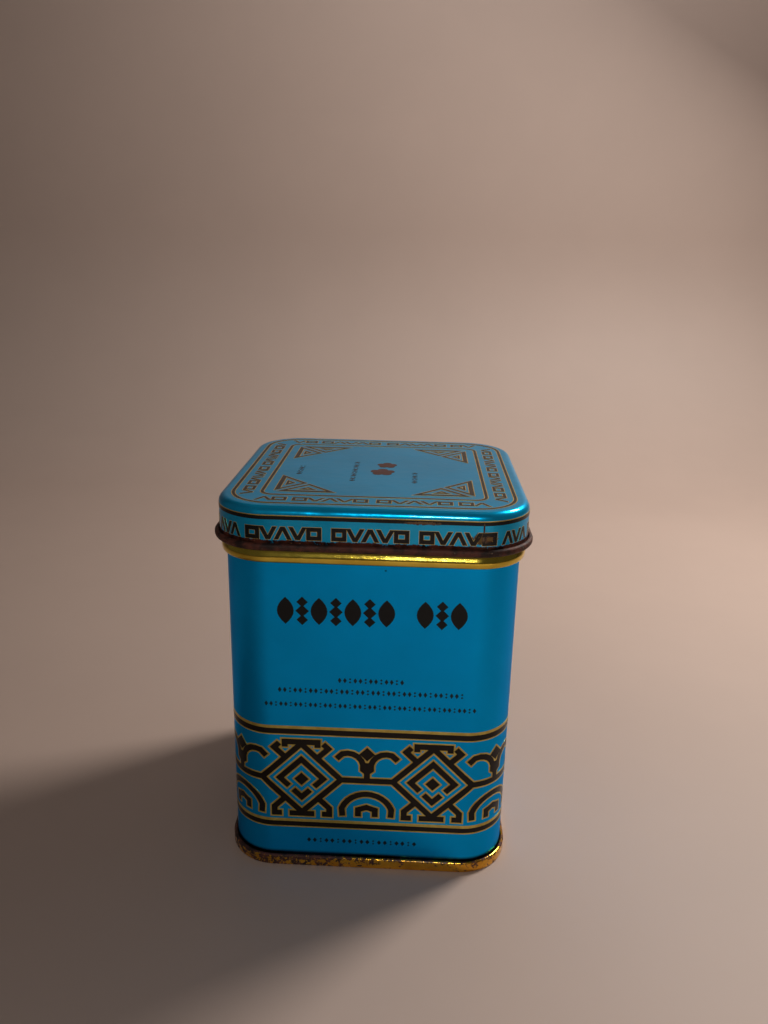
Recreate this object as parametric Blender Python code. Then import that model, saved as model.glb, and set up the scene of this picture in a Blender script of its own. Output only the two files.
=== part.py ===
"""A tea caddy: a tinplate tin with rounded corners, folded seams, an inner lid and a slip-on lid.

Each piece is one sheet of metal. Its section is a path down the middle of the sheet, given as
corners with bend radii, and the sheet's two faces are swept round the tin's rounded rectangle.
A path is written as (out, up) in millimetres: out is measured outwards from the outer face of
the tin's wall, and up from the surface that the tin stands on.
"""

import math

import bmesh
import bpy

MM = 0.001

# The tin.
WALL_WIDTH = 76.0
WALL_DEPTH = 76.0
CORNER_RADIUS = 12.3
TOTAL_HEIGHT = 104.5
SHEET = 0.28
FOLD_GAP = 0.1
STEP_BEND = 0.4
MIDDLE_START = 3.0

# The double seam that joins the base to the wall.
BASE_SEAM_HEIGHT = 3.2
BASE_PANEL_HEIGHT = 3.6
BASE_PANEL_MARGIN = 4.6
BASE_PANEL_STEP = 0.6
BASE_PANEL_BEND = 0.6
BASE_FOOT_BEND = 0.3

# The gold bead that joins the neck ring to the wall.
BEAD_BOTTOM = 89.85
BEAD_HEIGHT = 3.3
BEAD_OUT = 1.4
BEAD_LOWER_BEND = 0.5
BEAD_UPPER_BEND = 0.3
HOOK_LENGTH = 1.6
HOOK_BEND = 0.3

# The neck that stands up inside the lid, and its mouth.
NECK_OUT = 0.9
NECK_SHOULDER = 1.3
NECK_FOOT_BEND = 0.18
MOUTH_MARGIN = 2.6
MOUTH_BEND = 0.45
MOUTH_HEM = 1.9

# The inner lid.
PLUG_CLEARANCE = 0.12
PLUG_DEPTH = 7.0
PLUG_PANEL_MARGIN = 5.0
PLUG_PANEL_STEP = 0.6
PLUG_FLOOR_BEND = 1.0

# The outer lid.
LID_OUT = 1.71
LID_SHOULDER = 1.86
LID_EDGE_OUT = 3.0
LID_EDGE_BOTTOM = 93.5
LID_EDGE_HEIGHT = 2.3
LID_EDGE_TUCK = 1.0
LID_TUCK_BEND = 0.22
LID_REST_GAP = 0.14

# The lock seam up the back of the wall.
SIDE_SEAM_WIDTH = 4.2
SIDE_SEAM_SLOPE = 0.5
SIDE_SEAM_DEPTH = 2.0 * SHEET
SIDE_SEAM_END = 5.0

CORNER_STEPS = 8
FOLD_STEP = math.radians(45.0)
SHOULDER_STEP = math.radians(22.5)
SHOULDER_RADIUS = 1.0
SHARP_ANGLE = math.radians(40.0)
SAME_POINT = 1e-4

HALF = SHEET / 2.0
FOLD = SHEET + FOLD_GAP
INNER_FACE = -SHEET


def clear_scene():
    for item in list(bpy.data.objects):
        bpy.data.objects.remove(item)


def heading(start, end):
    return math.atan2(end[1] - start[1], end[0] - start[0])


def turn_between(arrive, leave):
    return (leave - arrive + math.pi) % (2.0 * math.pi) - math.pi


def rounded(corners):
    """The path through the corners (out, up, radius), with an arc of that radius at each bend."""
    points = [corners[0][:2]]
    for before, corner, after in zip(corners, corners[1:], corners[2:]):
        arrive = heading(before, corner)
        turn = turn_between(arrive, heading(corner, after))
        reach = corner[2] * abs(math.tan(turn / 2.0))
        step_angle = FOLD_STEP if corner[2] < SHOULDER_RADIUS else SHOULDER_STEP
        steps = max(1, math.ceil(abs(turn) / step_angle - 1e-6))
        side = math.copysign(1.0, turn)
        start = (corner[0] - reach * math.cos(arrive), corner[1] - reach * math.sin(arrive))
        centre = (
            start[0] - side * corner[2] * math.sin(arrive),
            start[1] + side * corner[2] * math.cos(arrive),
        )
        for step in range(steps + 1):
            angle = arrive + turn * step / steps
            out = centre[0] + side * corner[2] * math.sin(angle)
            up = centre[1] - side * corner[2] * math.cos(angle)
            if math.dist(points[-1], (out, up)) > SAME_POINT:
                points.append((out, up))
    points.append(corners[-1][:2])
    return points


def faces_of_sheet(path):
    """The sheet's left and right faces, each half a thickness from the path."""
    left = []
    right = []
    for index, point in enumerate(path):
        arrive = heading(path[max(index - 1, 0)], path[max(index, 1)])
        leave = heading(path[min(index, len(path) - 2)], path[min(index + 1, len(path) - 1)])
        turn = turn_between(arrive, leave)
        normal = arrive + turn / 2.0 + math.pi / 2.0
        reach = HALF / math.cos(turn / 2.0)
        across = (reach * math.cos(normal), reach * math.sin(normal))
        left.append((point[0] + across[0], point[1] + across[1]))
        right.append((point[0] - across[0], point[1] - across[1]))
    return left, right


def perimeter(out, up, ridge=None):
    """One ring round the tin, anticlockwise from above, as points in metres.

    With a ridge depth, the ring has four more points at the middle of the back, and the inner two
    step inwards by that depth.
    """
    half_width = WALL_WIDTH / 2.0 - CORNER_RADIUS
    half_depth = WALL_DEPTH / 2.0 - CORNER_RADIUS
    radius = CORNER_RADIUS + out
    ring = []
    for corner, (side_x, side_y) in enumerate([(1, 1), (-1, 1), (-1, -1), (1, -1)]):
        for step in range(CORNER_STEPS + 1):
            angle = math.radians(90.0) * (corner + step / CORNER_STEPS)
            x = side_x * half_width + radius * math.cos(angle)
            y = side_y * half_depth + radius * math.sin(angle)
            ring.append((x * MM, y * MM, up * MM))
        if corner == 0 and ridge is not None:
            back = half_depth + radius
            edge = SIDE_SEAM_WIDTH / 2.0
            foot = edge + SIDE_SEAM_SLOPE
            for x, step_in in [(foot, 0.0), (edge, ridge), (-edge, ridge), (-foot, 0.0)]:
                ring.append((x * MM, (back - step_in) * MM, up * MM))
    return ring


def swept(name, rings, closed, material):
    """A solid through the rings in turn: a closed band, or a dish with both end rings filled."""
    mesh = bmesh.new()
    levels = [[mesh.verts.new(point) for point in ring] for ring in rings]
    pairs = list(zip(levels, levels[1:]))
    if closed:
        pairs.append((levels[-1], levels[0]))
    for lower, upper in pairs:
        for index in range(len(lower)):
            after = (index + 1) % len(lower)
            mesh.faces.new((lower[index], lower[after], upper[after], upper[index]))
    if not closed:
        mesh.faces.new(levels[0])
        mesh.faces.new(levels[-1])
    bmesh.ops.recalc_face_normals(mesh, faces=mesh.faces)
    data = bpy.data.meshes.new(name)
    mesh.to_mesh(data)
    mesh.free()
    data.shade_smooth()
    data.set_sharp_from_angle(angle=SHARP_ANGLE)
    data.materials.append(material)
    piece = bpy.data.objects.new(name, data)
    bpy.context.collection.objects.link(piece)
    return piece


def sheet(name, corners, closed, material):
    """A dish, whose path starts at its flat middle, or a closed band that is open in the middle."""
    left, right = faces_of_sheet(rounded(corners))
    outline = left + right[::-1]
    return swept(name, [perimeter(*point) for point in outline], closed, material)


def wall(name, corners, material):
    """The band with the lock seam: a ridge up the inside of the back, clear of both ends."""
    left, right = faces_of_sheet(rounded(corners))
    low = SIDE_SEAM_END
    high = BEAD_BOTTOM - SIDE_SEAM_END
    straight = [point for point in left if abs(point[0] - INNER_FACE) < SAME_POINT]
    lowest = min(straight, key=lambda point: point[1])
    rings = []
    for point in left:
        rings.append(perimeter(*point, ridge=0.0))
        if point == lowest:
            for up, depth in [
                (low, 0.0),
                (low + SIDE_SEAM_SLOPE, SIDE_SEAM_DEPTH),
                (high - SIDE_SEAM_SLOPE, SIDE_SEAM_DEPTH),
                (high, 0.0),
            ]:
                rings.append(perimeter(point[0], up, ridge=depth))
    for point in right[::-1]:
        rings.append(perimeter(*point, ridge=0.0))
    return swept(name, rings, True, material)


def lacquer(name, colour, metallic, roughness):
    material = bpy.data.materials.new(name)
    material.use_nodes = True
    shader = material.node_tree.nodes["Principled BSDF"]
    shader.inputs["Base Color"].default_value = (*colour, 1.0)
    shader.inputs["Metallic"].default_value = metallic
    shader.inputs["Roughness"].default_value = roughness
    return material


def base_end():
    """Cover hook, seam wall, foot, chuck wall and a panel with one shallow step."""
    hook = FOLD_GAP + HALF
    outside = hook + 2.0 * FOLD
    inside = INNER_FACE - FOLD_GAP - HALF
    step = -BASE_PANEL_MARGIN - BASE_PANEL_STEP
    corners = [
        (step - MIDDLE_START, BASE_PANEL_HEIGHT - BASE_PANEL_STEP, 0.0),
        (step, BASE_PANEL_HEIGHT - BASE_PANEL_STEP, STEP_BEND),
        (-BASE_PANEL_MARGIN, BASE_PANEL_HEIGHT, STEP_BEND),
        (inside, BASE_PANEL_HEIGHT, BASE_PANEL_BEND),
        (inside, HALF, BASE_FOOT_BEND),
        (outside, HALF, BASE_FOOT_BEND),
        (outside, BASE_SEAM_HEIGHT - HALF, FOLD),
        (hook, BASE_SEAM_HEIGHT - HALF, FOLD),
        (hook, BASE_SEAM_HEIGHT - HALF - HOOK_LENGTH, 0.0),
    ]
    finish = lacquer("gold_lacquer_base", (0.42, 0.27, 0.06), 0.9, 0.3)
    return sheet("base_end", corners, False, finish)


def body_wall():
    """The wall, hooked outwards and up at its foot, and outwards and down at its top."""
    middle = -HALF
    hook = 2.0 * FOLD - HALF
    foot = SHEET + FOLD_GAP + HALF
    top = BEAD_BOTTOM + BEAD_HEIGHT - SHEET - FOLD_GAP - HALF
    corners = [
        (hook, foot + HOOK_LENGTH, 0.0),
        (hook, foot, FOLD),
        (middle, foot, FOLD),
        (middle, top, FOLD),
        (hook, top, FOLD),
        (hook, top - HOOK_LENGTH, 0.0),
    ]
    return wall("body_wall", corners, lacquer("printed_blue", (0.0, 0.09, 0.19), 0.0, 0.25))


def neck_ring():
    """Hook inside the bead, the bead itself, the neck, and the lip turned down at the mouth."""
    hook = FOLD_GAP + HALF
    bead = BEAD_OUT - HALF
    bottom = BEAD_BOTTOM + HALF
    top = BEAD_BOTTOM + BEAD_HEIGHT - HALF
    neck = NECK_OUT - HALF
    lip = lip_top() - HALF
    mouth = -MOUTH_MARGIN
    corners = [
        (hook, bottom + HOOK_LENGTH, 0.0),
        (hook, bottom, HOOK_BEND),
        (bead, bottom, BEAD_LOWER_BEND),
        (bead, top, BEAD_UPPER_BEND),
        (neck, top, NECK_FOOT_BEND),
        (neck, lip, NECK_SHOULDER),
        (mouth, lip, MOUTH_BEND),
        (mouth, lip - MOUTH_HEM, 0.0),
    ]
    finish = lacquer("gold_lacquer_neck", (0.50, 0.36, 0.08), 0.9, 0.25)
    return sheet("neck_ring", corners, True, finish)


def lip_top():
    """The height of the lip that the inner lid's flange lies on."""
    return TOTAL_HEIGHT - SHEET - LID_REST_GAP - SHEET - FOLD_GAP


def inner_lid():
    """A dish: a flange over the lip, a wall that plugs the mouth, and a panel with one step."""
    flange = lip_top() + FOLD_GAP + HALF
    rim = NECK_OUT - HALF - NECK_SHOULDER
    plug = -MOUTH_MARGIN - HALF - PLUG_CLEARANCE - HALF
    floor = flange - PLUG_DEPTH
    step = plug - PLUG_PANEL_MARGIN
    panel = floor + PLUG_PANEL_STEP
    corners = [
        (step - PLUG_PANEL_STEP - MIDDLE_START, panel, 0.0),
        (step - PLUG_PANEL_STEP, panel, STEP_BEND),
        (step, floor, STEP_BEND),
        (plug, floor, PLUG_FLOOR_BEND),
        (plug, flange, STEP_BEND),
        (rim, flange, 0.0),
    ]
    finish = lacquer("gold_lacquer_plug", (0.50, 0.36, 0.08), 0.9, 0.3)
    return sheet("inner_lid", corners, False, finish)


def outer_lid():
    """Flat top, rounded shoulder, skirt, and the bottom edge rolled outwards and closed."""
    top = TOTAL_HEIGHT - HALF
    skirt = LID_OUT - HALF
    edge = LID_EDGE_OUT - HALF
    bottom = LID_EDGE_BOTTOM + HALF
    roll = (edge - skirt) / 2.0
    edge_top = LID_EDGE_BOTTOM + LID_EDGE_HEIGHT - HALF
    tuck = skirt + SHEET + 2.0 * FOLD_GAP
    corners = [
        (-LID_SHOULDER - MIDDLE_START, top, 0.0),
        (skirt, top, LID_SHOULDER),
        (skirt, bottom, roll),
        (edge, bottom, roll),
        (edge, edge_top, edge - tuck - LID_TUCK_BEND),
        (tuck, edge_top, LID_TUCK_BEND),
        (tuck, edge_top - LID_EDGE_TUCK, 0.0),
    ]
    finish = lacquer("printed_blue_lid", (0.0, 0.11, 0.22), 0.0, 0.25)
    return sheet("outer_lid", corners, False, finish)


clear_scene()
base_end()
body_wall()
neck_ring()
inner_lid()
outer_lid()
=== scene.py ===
"""The looks of the tea caddy: fine shells, printed decoration, lacquer and wear, camera and light.

Each shell follows the sheet-metal section of the solid that it replaces, with finer bends. The
prints are thin layers of ink that lie on the shells. Sections and prints are in millimetres:
out is measured outwards from the outer face of the tin's wall, and up from the surface that the
tin stands on.
"""

import math

import bmesh
import bpy
from mathutils import Matrix, Vector
from mathutils.geometry import delaunay_2d_cdt


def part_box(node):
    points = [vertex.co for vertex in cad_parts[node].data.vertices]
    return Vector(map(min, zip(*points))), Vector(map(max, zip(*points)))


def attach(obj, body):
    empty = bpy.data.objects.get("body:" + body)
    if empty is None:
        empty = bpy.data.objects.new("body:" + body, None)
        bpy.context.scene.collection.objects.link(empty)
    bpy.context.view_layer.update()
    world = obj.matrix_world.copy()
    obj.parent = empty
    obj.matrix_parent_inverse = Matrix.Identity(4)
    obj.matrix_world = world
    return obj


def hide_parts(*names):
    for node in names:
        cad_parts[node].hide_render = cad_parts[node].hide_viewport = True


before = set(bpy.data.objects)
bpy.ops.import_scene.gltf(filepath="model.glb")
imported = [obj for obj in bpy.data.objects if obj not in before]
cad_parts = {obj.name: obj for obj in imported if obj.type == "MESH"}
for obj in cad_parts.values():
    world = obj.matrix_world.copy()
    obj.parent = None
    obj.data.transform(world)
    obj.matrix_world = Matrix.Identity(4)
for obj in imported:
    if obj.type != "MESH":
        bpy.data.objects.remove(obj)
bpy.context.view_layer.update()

MM = 0.001

# The sheet and its folds.
SHEET = 0.28
HALF = SHEET / 2.0
FOLD_GAP = 0.1
FOLD = SHEET + FOLD_GAP
HOOK_LENGTH = 1.6
HOOK_BEND = 0.28
STEP_BEND = 0.4
MIDDLE_START = 3.0
CORNER_RADIUS = 12.3

# The base end.
BASE_SEAM_HEIGHT = 3.2
BASE_PANEL_HEIGHT = 3.6
BASE_PANEL_MARGIN = 4.6
BASE_PANEL_STEP = 0.6
BASE_PANEL_BEND = 0.6
BASE_FOOT_BEND = 0.3

# The lock seam up the back, the bare strip beside it and the groove along its edge.
SIDE_SEAM_WIDTH = 4.2
SIDE_SEAM_SLOPE = 0.5
SIDE_SEAM_DEPTH = 2.0 * SHEET
SIDE_SEAM_END = 5.0
SEAM_STRIP = 3.4
SEAM_GROOVE = 0.36
GROOVE_DEPTH = 0.12

# The bead, which is crowned more than the solid's.
BEAD_OUT = 1.4
BEAD_HEIGHT = 3.3
BEAD_LOWER_BEND = 0.5
BEAD_LOWER_SLOPE = 0.2
BEAD_CROWN_RADIUS = 1.8
BEAD_CROWN_HEIGHT = 1.45
BEAD_UPPER_BEND = 0.3
BEAD_UPPER_SLOPE = 0.42
BEAD_UPPER_HEIGHT = 0.5

# The neck, and the lip turned down round the mouth.
NECK_OUT = 0.9
NECK_SHOULDER = 1.3
NECK_FOOT_BEND = 0.05
MOUTH_MARGIN = 2.6
MOUTH_BEND = 0.45
MOUTH_HEM = 1.9

# The inner lid, which plugs the mouth.
PLUG_CLEARANCE = 0.12
PLUG_DEPTH = 7.0
PLUG_PANEL_MARGIN = 5.0
PLUG_PANEL_STEP = 0.6
PLUG_FLOOR_BEND = 1.0

# The outer lid. Its rolled edge is a little lower than the solid's.
LID_OUT = 1.71
LID_SHOULDER = 1.86
LID_EDGE_HEIGHT = 1.9
LID_EDGE_TUCK = 1.0
LID_TUCK_BEND = 0.22

# The tin's outline and heights, from the frame.
lid_low, lid_high = (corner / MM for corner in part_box("outer_lid"))
neck_low, neck_high = (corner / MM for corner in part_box("neck_ring"))
HALF_SIDE = neck_high.x - BEAD_OUT
LID_EDGE_OUT = lid_high.x - HALF_SIDE
TOP = lid_high.z
LIP = neck_high.z
BEAD_BOTTOM = neck_low.z
LID_EDGE_BOTTOM = lid_low.z
FLAT = HALF_SIDE - CORNER_RADIUS

# How finely bends are stepped, and which edges stay sharp.
CORNER_STEPS = 24
SIDE_STEPS = 24
FOLD_STEP = math.radians(15.0)
SHOULDER_STEP = math.radians(7.5)
SHOULDER_RADIUS = 1.0
SHARP_ANGLE = math.radians(40.0)

# The smallest distance and area that count.
SAME_POINT = 1e-4
SLIVER = 1e-3


# ---- Sheet metal ----

def heading(start, end):
    return math.atan2(end[1] - start[1], end[0] - start[0])


def turn_between(arrive, leave):
    return (leave - arrive + math.pi) % (2.0 * math.pi) - math.pi


def rounded(corners):
    """The path through the corners (out, up, radius), with an arc of that radius at each bend."""
    points = [corners[0][:2]]
    for before, corner, after in zip(corners, corners[1:], corners[2:]):
        arrive = heading(before, corner)
        turn = turn_between(arrive, heading(corner, after))
        reach = corner[2] * abs(math.tan(turn / 2.0))
        step_angle = FOLD_STEP if corner[2] < SHOULDER_RADIUS else SHOULDER_STEP
        steps = max(1, math.ceil(abs(turn) / step_angle - 1e-6))
        side = math.copysign(1.0, turn)
        start = (corner[0] - reach * math.cos(arrive), corner[1] - reach * math.sin(arrive))
        centre = (
            start[0] - side * corner[2] * math.sin(arrive),
            start[1] + side * corner[2] * math.cos(arrive),
        )
        for step in range(steps + 1):
            angle = arrive + turn * step / steps
            out = centre[0] + side * corner[2] * math.sin(angle)
            up = centre[1] - side * corner[2] * math.cos(angle)
            if math.dist(points[-1], (out, up)) > SAME_POINT:
                points.append((out, up))
    points.append(corners[-1][:2])
    return points


def faces_of_sheet(path):
    """The sheet's left and right faces, each half a thickness from the path."""
    left = []
    right = []
    for index, point in enumerate(path):
        arrive = heading(path[max(index - 1, 0)], path[max(index, 1)])
        leave = heading(path[min(index, len(path) - 2)], path[min(index + 1, len(path) - 1)])
        turn = turn_between(arrive, leave)
        normal = arrive + turn / 2.0 + math.pi / 2.0
        reach = HALF / math.cos(turn / 2.0)
        across = (reach * math.cos(normal), reach * math.sin(normal))
        left.append((point[0] + across[0], point[1] + across[1]))
        right.append((point[0] - across[0], point[1] - across[1]))
    return left, right


def back_columns(depth=0.0, groove=0.0):
    """Where the back's columns stand, from right to left, as (x, how far the face is set in)."""
    edge = SIDE_SEAM_WIDTH / 2.0
    foot = edge + SIDE_SEAM_SLOPE
    lip = SEAM_GROOVE / 2.0
    return [
        (SEAM_STRIP, 0.0),
        (foot, 0.0),
        (edge, depth),
        (lip - edge, depth),
        (-edge, depth + groove),
        (-edge - lip, depth),
        (-foot, 0.0),
        (-SEAM_STRIP, 0.0),
    ]


def perimeter(out, up, back=None):
    """One ring round the tin, anticlockwise from above, as points in metres."""
    radius = CORNER_RADIUS + out
    ring = []
    for corner, (side_x, side_y) in enumerate([(1, 1), (-1, 1), (-1, -1), (1, -1)]):
        for step in range(CORNER_STEPS + 1):
            angle = math.radians(90.0) * (corner + step / CORNER_STEPS)
            x = side_x * FLAT + radius * math.cos(angle)
            y = side_y * FLAT + radius * math.sin(angle)
            ring.append(Vector((x, y, up)) * MM)
        if corner == 0 and back is not None:
            for x, step_in in back:
                ring.append(Vector((x, FLAT + radius - step_in, up)) * MM)
            continue
        turned = Matrix.Rotation(math.radians(90.0) * corner, 3, "Z")
        for step in range(1, SIDE_STEPS):
            along = FLAT * (1.0 - 2.0 * step / SIDE_STEPS)
            ring.append(turned @ Vector((along, FLAT + radius, up)) * MM)
    return ring


def shell(name, rings, sides, closed, materials):
    """A sheet through the rings in turn. sides holds each ring's material: 0 outside, 1 inside."""
    mesh = bmesh.new()
    levels = [[mesh.verts.new(point) for point in ring] for ring in rings]
    count = len(levels) if closed else len(levels) - 1
    for level in range(count):
        lower = levels[level]
        upper = levels[(level + 1) % len(levels)]
        for index in range(len(lower)):
            after = (index + 1) % len(lower)
            face = mesh.faces.new((lower[index], lower[after], upper[after], upper[index]))
            face.material_index = sides[level]
    if not closed:
        mesh.faces.new(levels[0]).material_index = sides[0]
        mesh.faces.new(levels[-1]).material_index = sides[-1]
    bmesh.ops.recalc_face_normals(mesh, faces=mesh.faces)
    return piece_from(name, mesh, materials)


def piece_from(name, mesh, materials):
    """An object of that mesh, smooth except along its sharp edges."""
    data = bpy.data.meshes.new(name)
    mesh.to_mesh(data)
    mesh.free()
    data.shade_smooth()
    data.set_sharp_from_angle(angle=SHARP_ANGLE)
    for material in materials:
        data.materials.append(material)
    piece = bpy.data.objects.new(name, data)
    bpy.context.collection.objects.link(piece)
    return piece


def finish_piece(piece, body, slot, *replaced):
    """The piece rides on the body and stands in for the replaced solids. The slot is not used."""
    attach(piece, body)
    if replaced:
        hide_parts(*replaced)


def folded(name, corners, closed, outside_is_left, materials, shape=None):
    """A shell from a section's corners; shape moves each point, for dents."""
    left, right = faces_of_sheet(rounded(corners))
    outline = left + right[::-1]
    sides = [int(not outside_is_left)] * len(left) + [int(outside_is_left)] * len(right)
    rings = [perimeter(*point) for point in outline]
    if shape is not None:
        rings = [[shape(point) for point in ring] for ring in rings]
    return shell(name, rings, sides, closed, materials)


# ---- Printing ----

def stroke(points, width, end=0.0, closed=False):
    """A line of that width through the points, as quads that meet at mitred bends."""
    count = len(points)
    lefts = []
    rights = []
    for index, point in enumerate(points):
        before = points[index - 1] if index or closed else None
        after = points[(index + 1) % count] if index < count - 1 or closed else None
        arrive = heading(before, point) if before else heading(point, after)
        leave = heading(point, after) if after else arrive
        turn = turn_between(arrive, leave)
        normal = arrive + turn / 2.0 + math.pi / 2.0
        reach = width / 2.0 / math.cos(turn / 2.0)
        forward = end * (int(after is None) - int(before is None))
        x = point[0] + forward * math.cos(arrive)
        y = point[1] + forward * math.sin(arrive)
        across = (reach * math.cos(normal), reach * math.sin(normal))
        lefts.append((x + across[0], y + across[1]))
        rights.append((x - across[0], y - across[1]))
    quads = []
    for index in range(count if closed else count - 1):
        after = (index + 1) % count
        quads.append([rights[index], rights[after], lefts[after], lefts[index]])
    return quads


def signed_area(polygon):
    """The polygon's area, positive where it runs anticlockwise."""
    total = 0.0
    for (x0, y0), (x1, y1) in zip(polygon, polygon[1:] + polygon[:1]):
        total += x0 * y1 - x1 * y0
    return total / 2.0


def covered(polygons, cuts):
    """The points and triangles that cover the polygons once, split along the cuts."""
    points = []
    edges = []
    faces = []
    for polygon in polygons:
        ordered = polygon if signed_area(polygon) > 0.0 else polygon[::-1]
        faces.append(list(range(len(points), len(points) + len(ordered))))
        points.extend(Vector(point) for point in ordered)
    for start, end in cuts:
        edges.append((len(points), len(points) + 1))
        points.extend([Vector(start), Vector(end)])
    made, _, triangles, _, _, sources = delaunay_2d_cdt(points, edges, faces, 0, SAME_POINT)
    return made, [corners for corners, source in zip(triangles, sources) if source]


def lay_print(name, polygons, place, height, material, body, slot, cuts=()):
    """A layer of ink on a shell: place(x, y, height) gives the point above the shell's face."""
    points, triangles = covered(polygons, cuts)
    mesh = bmesh.new()
    tops = {}
    bottoms = {}
    for index in sorted({corner for corners in triangles for corner in corners}):
        tops[index] = mesh.verts.new(place(*points[index], height) * MM)
        bottoms[index] = mesh.verts.new(place(*points[index], -INK_SUNK) * MM)
    edges = []
    for corners in triangles:
        mesh.faces.new([tops[corner] for corner in corners])
        mesh.faces.new([bottoms[corner] for corner in reversed(corners)])
        edges += zip(corners, corners[1:] + corners[:1])
    walked = set(edges)
    for start, end in edges:
        if (end, start) not in walked:
            mesh.faces.new((tops[end], tops[start], bottoms[start], bottoms[end]))
    finish_piece(piece_from(name, mesh, [material]), body, slot)


def corner_length(face_out):
    return (CORNER_RADIUS + face_out) * math.pi / 2.0


def quarter_length(face_out):
    """A quarter of the way round the tin: one side and one corner."""
    return 2.0 * FLAT + corner_length(face_out)


def on_wall(face_out):
    """place() for a band of print: x runs rightwards round the tin from the front's middle."""
    quarter = quarter_length(face_out)

    def place(x, up, height):
        side = round(x / quarter)
        along = x - side * quarter
        radius = CORNER_RADIUS + face_out + height
        angle = max(abs(along) - FLAT, 0.0) / (CORNER_RADIUS + face_out)
        reach = min(abs(along), FLAT) + radius * math.sin(angle)
        point = Vector((math.copysign(reach, along), -FLAT - radius * math.cos(angle), up))
        return Matrix.Rotation(math.radians(90.0) * side, 3, "Z") @ point

    return place


def corner_cuts(face_out, low, high):
    """Upright cuts at the shells' corner columns, so that bands of print bend where they do."""
    cuts = []
    for side in range(-2, 3):
        for sign in (-1, 1):
            for step in range(CORNER_STEPS // 2 + 1):
                reach = FLAT + corner_length(face_out) * step / CORNER_STEPS
                x = side * quarter_length(face_out) + sign * reach
                cuts.append(((x, low), (x, high)))
    return cuts


def on_lid_top(x, y, height):
    """place() for print on the lid's flat top."""
    return Vector((x, y, TOP + height))


def moved(points, x=0.0, y=0.0, turn=0.0):
    """The points turned anticlockwise by that many degrees, and then shifted."""
    cosine = math.cos(math.radians(turn))
    sine = math.sin(math.radians(turn))
    return [(x + cosine * px - sine * py, y + sine * px + cosine * py) for px, py in points]


def rectangle(left, bottom, right, top):
    return [(left, bottom), (right, bottom), (right, top), (left, top)]


def lozenge(x, y, half_width, half_height):
    return [(x - half_width, y), (x, y - half_height), (x + half_width, y), (x, y + half_height)]


def arc(x, y, radius, start, end, steps):
    angles = [math.radians(start + (end - start) * step / steps) for step in range(steps + 1)]
    return [(x + radius * math.cos(angle), y + radius * math.sin(angle)) for angle in angles]


def disc(x, y, radius, count):
    return arc(x, y, radius, 0, 360.0 - 360.0 / count, count - 1)


def rounded_square(half, radius, steps=8):
    inner = half - radius
    points = []
    for corner, (x, y) in enumerate([(inner, inner), (-inner, inner), (-inner, -inner), (inner, -inner)]):
        points.extend(arc(x, y, radius, 90 * corner, 90 * corner + 90, steps))
    return points


# ---- Print designs ----

# How far the layers of print reach above the sheet and into it.
GOLD_HEIGHT = 0.03
INK_HEIGHT = 0.05
INK_SUNK = 0.02

# The wall's frieze. CROSSING is where neighbouring figures meet, and a lozenge is given as its half
# width and its height above the frieze's middle. The lines are its borders, from bottom to top.
FRIEZE_MIDDLE = 27.6
FRIEZE_STROKE = 1.65
FRIEZE_MARGIN = 0.42
CROSSING = 7.0
NARROW_LOZENGE = (2.1, 8.2)
WIDE_LOZENGE = (2.0, -0.2)
GOLD_LINES = ((11.85, 12.25), (13.7, 14.6), (40.8, 41.15), (42.75, 43.6))
DARK_LINES = ((12.25, 13.7), (41.15, 42.75))
FRIEZE_CUTS = (10.0, 45.0)


def full_band(face_out, low, high):
    """A rectangle of print all the way round, open at the bare strip of the side seam."""
    reach = 2.0 * quarter_length(face_out) - SEAM_STRIP
    return rectangle(-reach, low, reach, high)


def cut_off(polygon, limit):
    """The part of a convex polygon between x = -limit and x = limit."""
    for side in (-1, 1):
        kept = []
        for before, point in zip(polygon[-1:] + polygon[:-1], polygon):
            inside = side * point[0] <= limit
            if inside != (side * before[0] <= limit):
                share = (side * limit - before[0]) / (point[0] - before[0])
                kept.append((side * limit, before[1] + share * (point[1] - before[1])))
            if inside:
                kept.append(point)
        polygon = kept
    return polygon


def cut_all(polygons, limit):
    cut = [cut_off(polygon, limit) for polygon in polygons]
    return [polygon for polygon in cut if len(polygon) > 2 and abs(signed_area(polygon)) > SLIVER]


def both_sides(points):
    """The points and their mirror image, as one line through the middle."""
    mirrored = [(-x, y) for x, y in reversed(points)]
    return mirrored + points if points[0][0] > SAME_POINT else mirrored[:-1] + points


def narrow_cell():
    """The frieze's figure at the middle of each side and each corner: lines round (0, 0)."""
    lines = [
        [(-CROSSING, 0.0), (CROSSING, 0.0)],
        [(0.0, 0.0), (0.0, 5.6)],
        both_sides([(0.0, -4.2)] + arc(0.0, -11.4, 7.2, 80, 20, 5) + [(6.6, -11.4)]),
        both_sides([(0.0, -8.4), (2.3, -9.2), (2.3, -11.4)]),
    ]
    for side in (-1, 1):
        arm = [(0.0, 2.6)] + arc(5.2, 4.2, 4.2, 190, 70, 6) + [(8.2, 6.6)]
        upper_hook = [(13.4, 6.4), (10.4, 9.4), (11.8, 10.8)]
        lower_hook = [(13.2, -6.2), (10.2, -9.2), (10.2, -11.2), (12.2, -11.2)]
        for line in (arm, upper_hook, lower_hook):
            lines.append([(side * x, y) for x, y in line])
    return lines


def wide_cell(reach):
    """The diamond between two narrow cells: lines round (0, 0), out to x = reach."""
    return [
        both_sides([(0.0, reach), (reach, 0.0)]),
        both_sides([(0.0, -reach), (reach, 0.0)]),
        both_sides([(4.4, 11.2), (4.4, 9.6)]),
        [(-3.4, -11.2), (3.4, -11.2)],
        both_sides([(0.0, 5.9), (5.9, 0.0), (3.4, -2.5)]),
        both_sides([(0.0, -5.9), (2.3, -3.6)]),
    ]


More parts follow.
